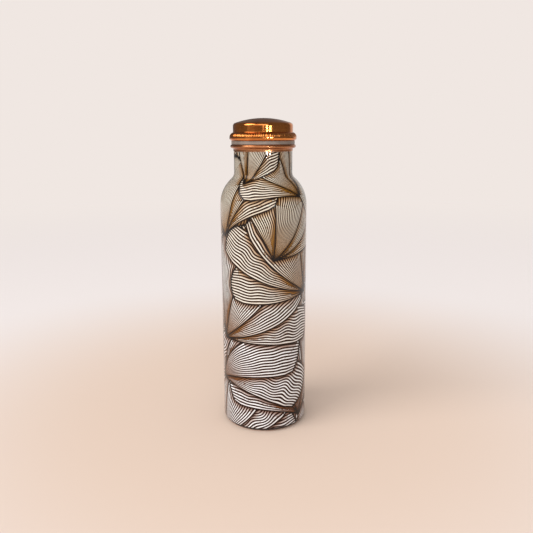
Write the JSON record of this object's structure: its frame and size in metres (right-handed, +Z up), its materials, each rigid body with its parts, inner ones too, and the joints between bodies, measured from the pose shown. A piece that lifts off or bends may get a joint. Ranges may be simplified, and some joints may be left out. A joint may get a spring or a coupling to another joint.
{
  "type": "copper water bottle",
  "caption": "Slim copper water bottle with a rounded shoulder, an all-over printed coat, a rolled threaded neck and a domed copper screw cap sealed by silicone rings.",
  "frame": {"origin": "on the bottle's axis, at the plane of its standing ring", "axes": "+Z up along the bottle's axis towards the cap; +Y points away from the front view"},
  "size_m": [0.073, 0.073, 0.2624],
  "materials": {
    "bottle_copper": "drawn copper sheet, softly polished",
    "cap_copper": "spun copper, polished, with fine turning marks",
    "printed_lacquer": "cream, amber and brown line print under clear gloss lacquer",
    "solder": "tin solder, dull",
    "silicone": "grey-white silicone, satin"
  },
  "bodies": {
    "bottle": {"body_shell": "bottle_copper", "printed_coat": "printed_lacquer", "base_plate": "bottle_copper", "base_solder_seam": "solder", "neck_ring": "bottle_copper", "neck_solder_seam": "solder", "neck_gasket": "silicone"},
    "lid_seal": {"cap_seal": "silicone"},
    "cap": {"cap_shell": "cap_copper", "cap_thread_liner": "cap_copper"}
  },
  "joints": [
    {"name": "cap_lift", "type": "slide", "parent": "bottle", "child": "lid_seal", "axis": [0, 0, 1], "range_m": [0, 0.014]},
    {"name": "cap_turn", "type": "hinge", "parent": "lid_seal", "child": "cap", "pos_m": [0, 0, 0.25], "axis": [0, 0, 1], "range_deg": [0, 1260]}
  ],
  "couplings": [
    {"joint": "cap_lift", "follows": "cap_turn", "m_per_rad": 0.0006366}
  ]
}
